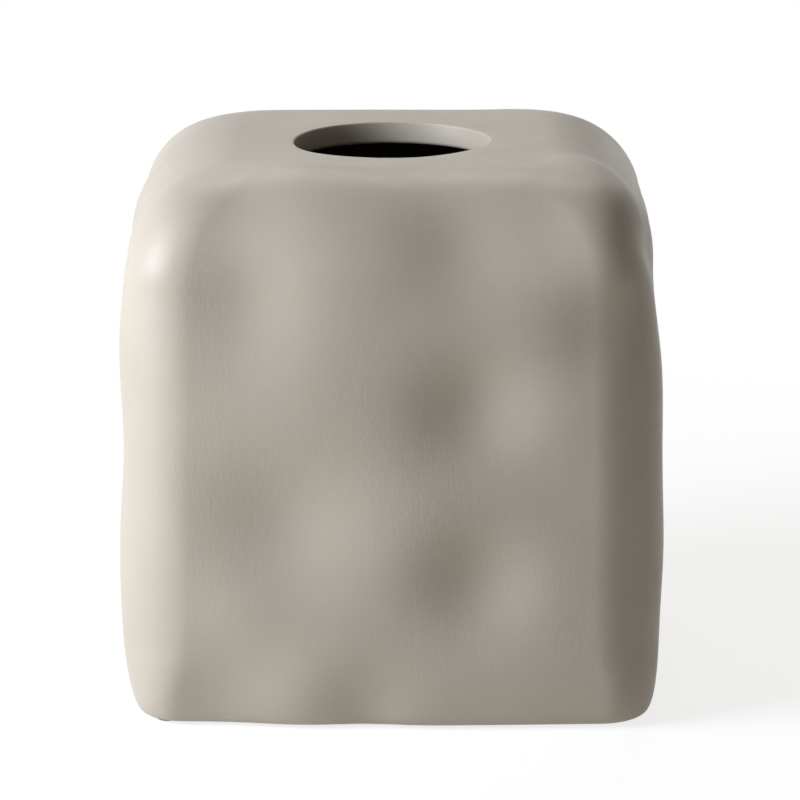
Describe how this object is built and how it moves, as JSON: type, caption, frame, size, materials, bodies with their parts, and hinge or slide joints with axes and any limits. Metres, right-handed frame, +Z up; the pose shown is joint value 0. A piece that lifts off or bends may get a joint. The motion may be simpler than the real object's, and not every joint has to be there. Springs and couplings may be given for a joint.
{
  "type": "tissue box cover",
  "caption": "Square cast cover with softly dented walls, a round mouth in its top and an open underside, that slips down over a cube tissue carton and stands on small pads.",
  "frame": {"origin": "middle of the footprint, on the surface that the four pads stand on", "axes": "+Z up through the middle of the mouth; the front seen in the picture faces -Y; +X is to the right when looking at that front"},
  "size_m": [0.1495, 0.1503, 0.1479],
  "materials": {
    "matte_glaze": "satin",
    "pad_rubber": "matte"
  },
  "bodies": {
    "root": {"cover_shell": "matte_glaze", "foot_pad_front_left": "pad_rubber", "foot_pad_front_right": "pad_rubber", "foot_pad_rear_left": "pad_rubber", "foot_pad_rear_right": "pad_rubber"}
  },
  "joints": []
}
